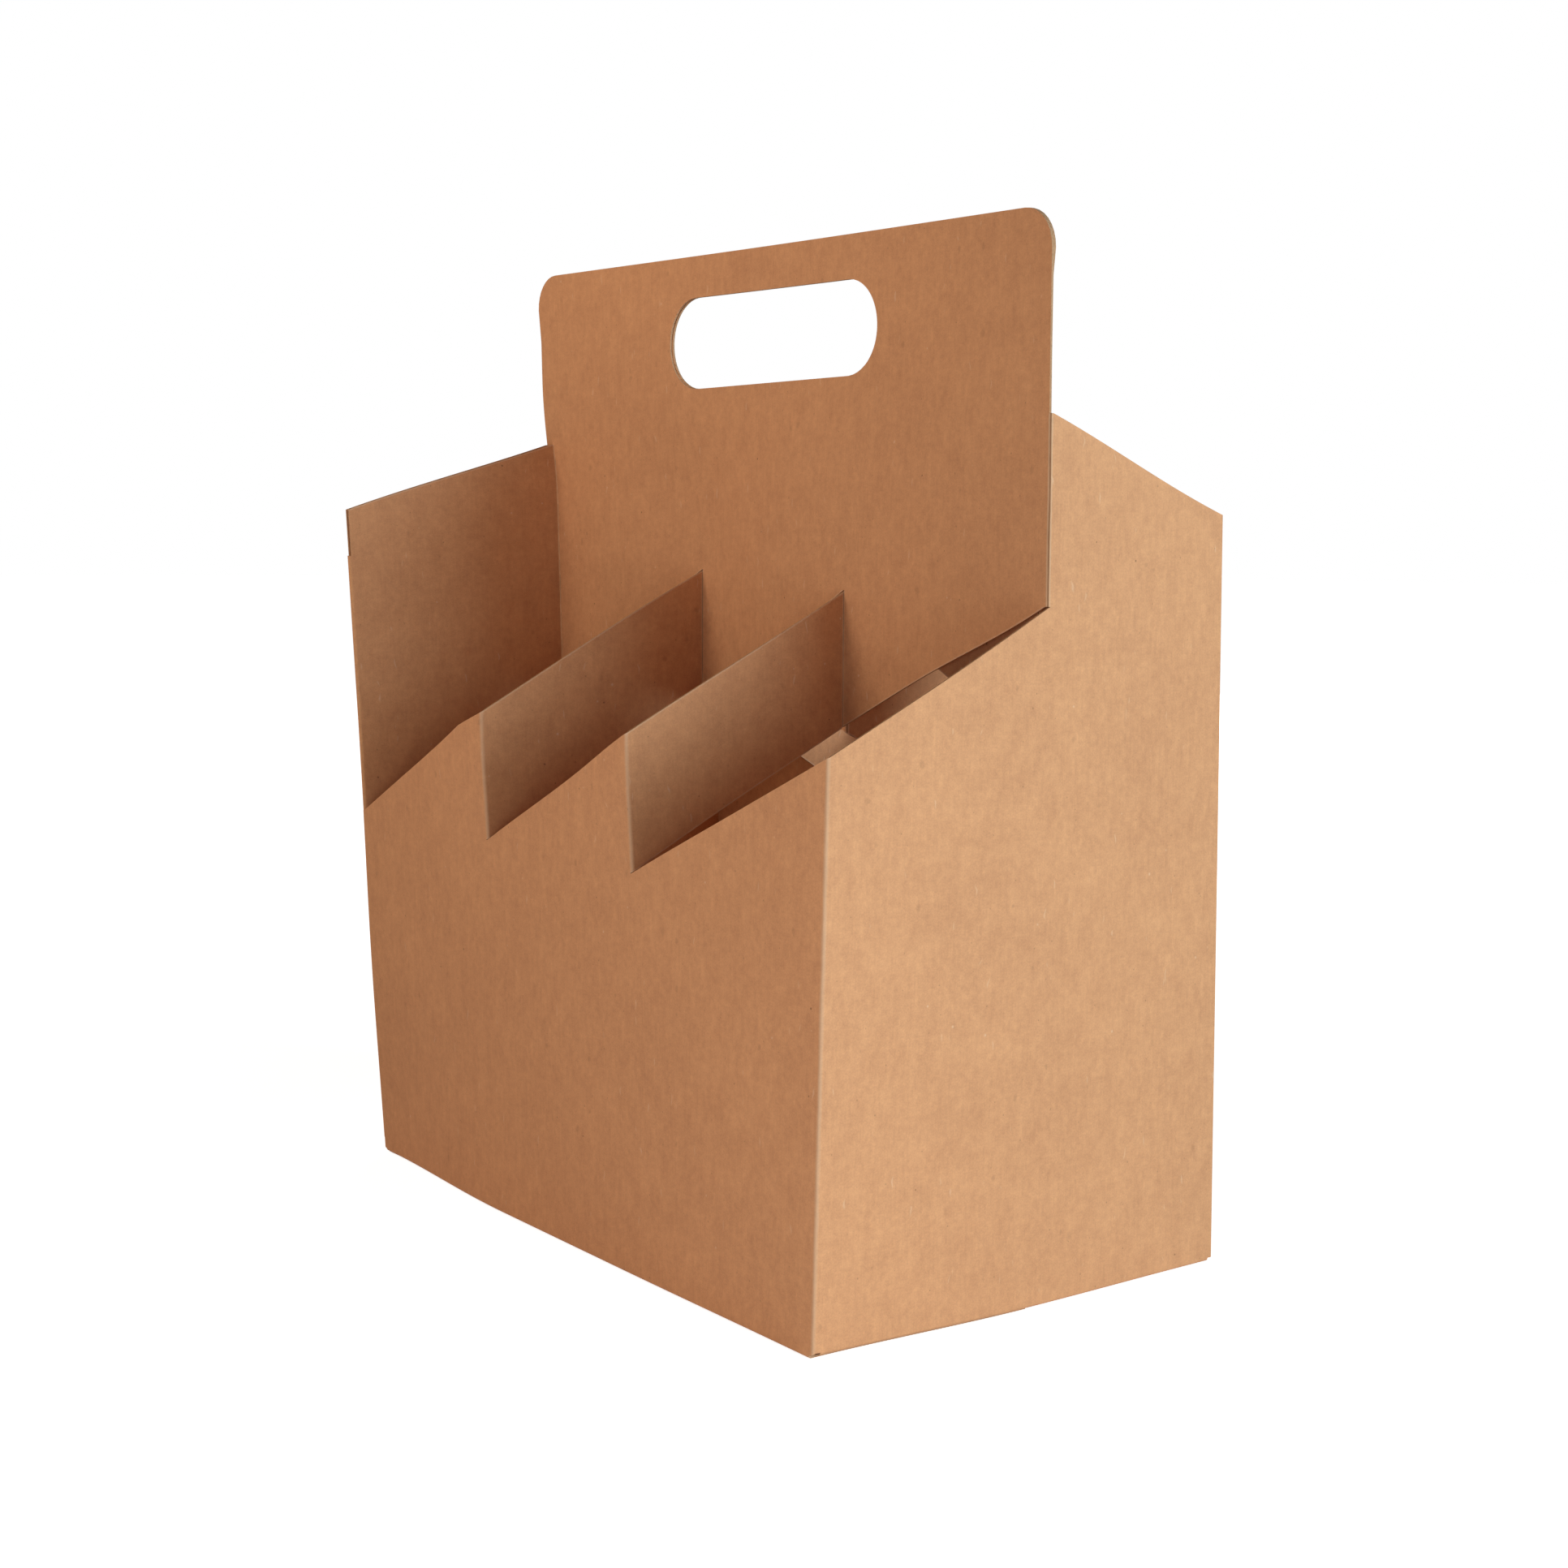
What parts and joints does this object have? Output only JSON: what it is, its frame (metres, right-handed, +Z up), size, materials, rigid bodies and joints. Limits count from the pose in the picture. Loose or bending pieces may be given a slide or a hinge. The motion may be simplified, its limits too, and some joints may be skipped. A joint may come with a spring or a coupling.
{
  "type": "bottle carrier",
  "caption": "Open kraft board carrier with two rows of bottle cells, sloping cut edges and a tall centre handle with a stadium hand hole.",
  "frame": {"origin": "on the ground under the middle of the carrier", "axes": "+X along the bottle rows, to the right seen from the front; +Y from the front panel to the back panel; +Z up, towards the handle"},
  "size_m": [0.222, 0.125, 0.2545],
  "materials": {
    "kraft_board_front": "matte",
    "kraft_board_back": "matte"
  },
  "bodies": {
    "root": {"front_half": "kraft_board_front", "back_half": "kraft_board_back"}
  },
  "joints": []
}
